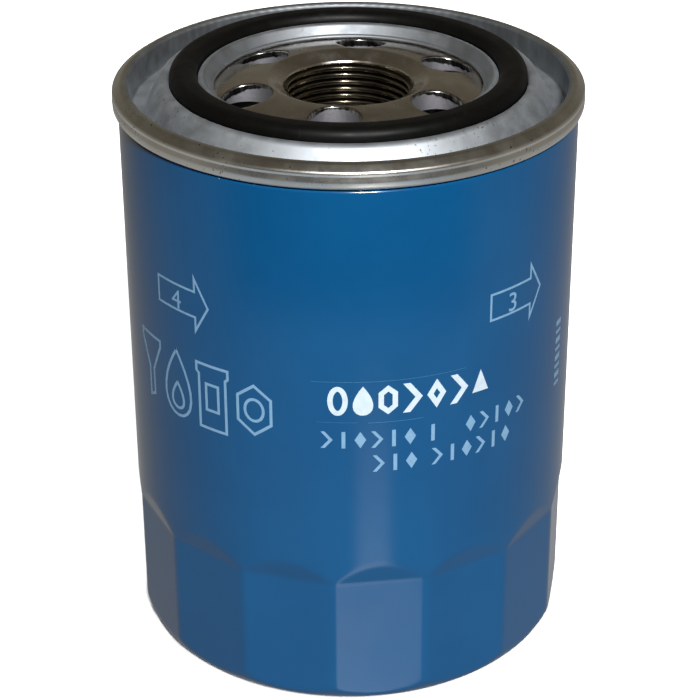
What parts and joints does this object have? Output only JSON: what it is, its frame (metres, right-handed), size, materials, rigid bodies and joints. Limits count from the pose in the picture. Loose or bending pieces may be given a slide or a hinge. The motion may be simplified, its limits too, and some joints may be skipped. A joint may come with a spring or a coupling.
{
  "type": "oil filter",
  "caption": "Spin-on engine oil filter: fluted steel can, rolled seam, ring gasket, threaded base plate with oil inlets, pleated element and a spring bypass valve.",
  "frame": {"origin": "centre of the closed end, on the ring that the filter stands on", "axes": "+Z along the mounting thread, out of its mouth; -Y is the side with the printed arrows"},
  "size_m": [0.0952, 0.0952, 0.125],
  "materials": {
    "blue_paint": "gloss enamel with light orange peel",
    "zinc_lid": "galvanised sheet, satin",
    "seam_compound": "matt sealing compound",
    "black_rubber": "moulded nitrile, satin",
    "burnished_steel": "pressed and oiled, semi-gloss",
    "valve_rubber": "moulded nitrile, matt",
    "cap_steel": "tinned sheet",
    "adhesive": "cured plastisol",
    "filter_paper": "resin-treated filter paper",
    "tube_steel": "perforated tinned sheet",
    "spring_steel": "drawn wire"
  },
  "bodies": {
    "root": {"canister": "blue_paint", "seaming_lid": "zinc_lid", "seam_sealant": "seam_compound", "gasket": "black_rubber", "base_plate": "burnished_steel", "anti_drain_collar": "valve_rubber", "upper_end_cap": "cap_steel", "lower_end_cap": "cap_steel", "upper_potting": "adhesive", "lower_potting": "adhesive", "pleated_media": "filter_paper", "media_clip": "cap_steel", "centre_tube": "tube_steel", "bypass_seat": "cap_steel", "bypass_cage": "cap_steel", "bypass_spring": "spring_steel", "element_spring": "spring_steel"},
    "bypass_valve": {"bypass_disc": "cap_steel", "bypass_seal": "black_rubber"},
    "drain_flap": {"anti_drain_flap": "valve_rubber"}
  },
  "joints": [
    {"name": "bypass_lift", "type": "slide", "parent": "root", "child": "bypass_valve", "axis": [0, 0, 1], "range_m": [0, 0.003], "stiffness_N_per_m": 2000, "springref_m": -0.0077, "deforming": ["bypass_spring"]},
    {"name": "flap_open", "type": "slide", "parent": "root", "child": "drain_flap", "axis": [0, 0, -1], "range_m": [0, 0.0012], "stiffness_N_per_m": 600, "springref_m": -0.0008}
  ]
}
